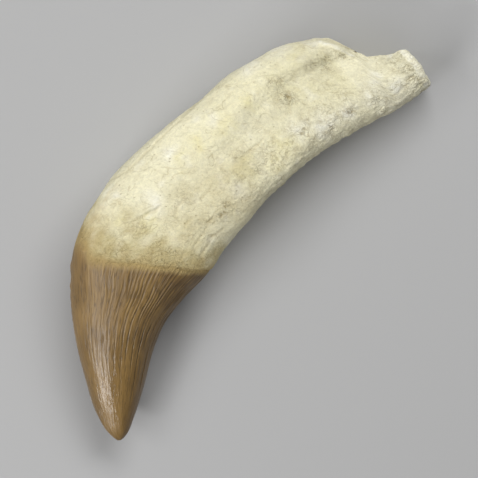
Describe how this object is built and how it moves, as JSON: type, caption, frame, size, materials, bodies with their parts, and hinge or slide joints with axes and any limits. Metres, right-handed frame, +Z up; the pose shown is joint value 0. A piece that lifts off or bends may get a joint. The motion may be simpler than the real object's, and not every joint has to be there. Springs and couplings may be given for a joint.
{
  "type": "fossil basilosaurus tooth",
  "caption": "Curved fossil whale tooth with a ridged brown enamel crown and a thick, broken cream root, lying on its side.",
  "frame": {"origin": "on the surface that the tooth lies on, under the middle of its bounding box", "axes": "+X from the crown's tip to the broken root end, +Y towards the curved tooth's outer edge, +Z up off the surface"},
  "size_m": [0.1633, 0.0614, 0.0319],
  "materials": {
    "tooth": "dull fossil bone on the root, satin brown enamel on the crown"
  },
  "bodies": {
    "root": {"tooth": "tooth"}
  },
  "joints": []
}
